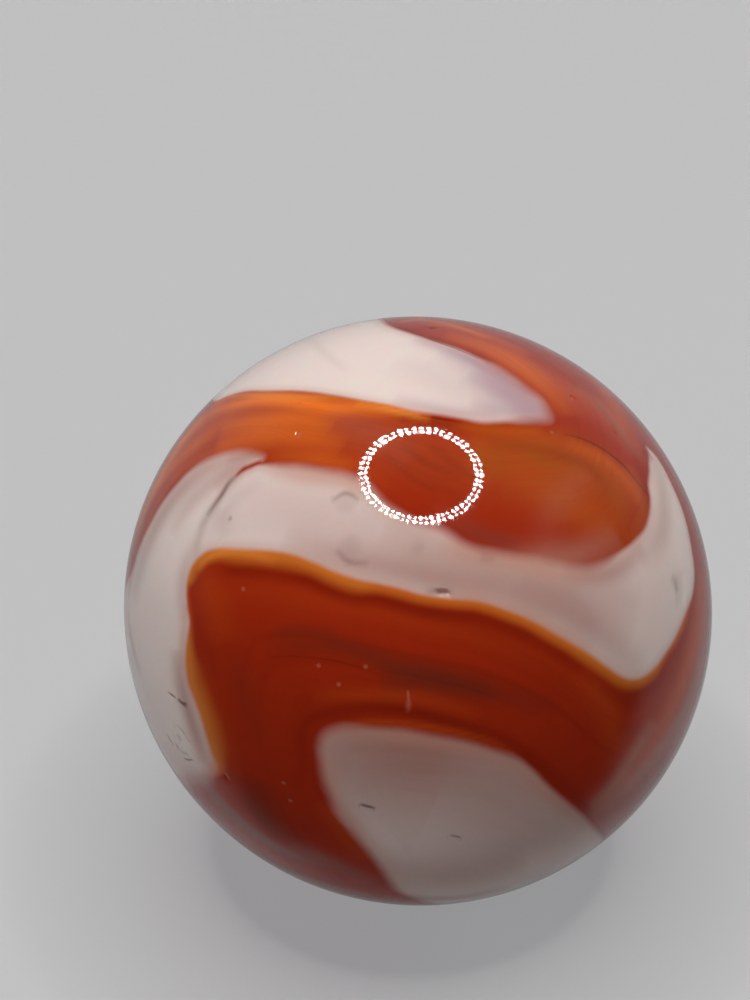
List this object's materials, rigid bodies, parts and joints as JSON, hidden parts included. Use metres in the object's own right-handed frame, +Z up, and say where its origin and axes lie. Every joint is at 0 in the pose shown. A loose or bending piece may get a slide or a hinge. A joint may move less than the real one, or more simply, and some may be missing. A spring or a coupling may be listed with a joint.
{
  "type": "glass marble",
  "caption": "Small solid glass ball with folded white and orange-red swirl, for play, display or use as a rolling ball.",
  "frame": {"origin": "centre of the ball", "axes": "+Z up as the ball was seen resting, with the show face looking along -Y and 40 degrees upwards; -Z leads to the point that it rests on"},
  "size_m": [0.016, 0.016, 0.016],
  "materials": {
    "swirl_glass": "polished opaque glass, white folded into orange-red"
  },
  "bodies": {
    "root": {"marble": "swirl_glass"}
  },
  "joints": []
}
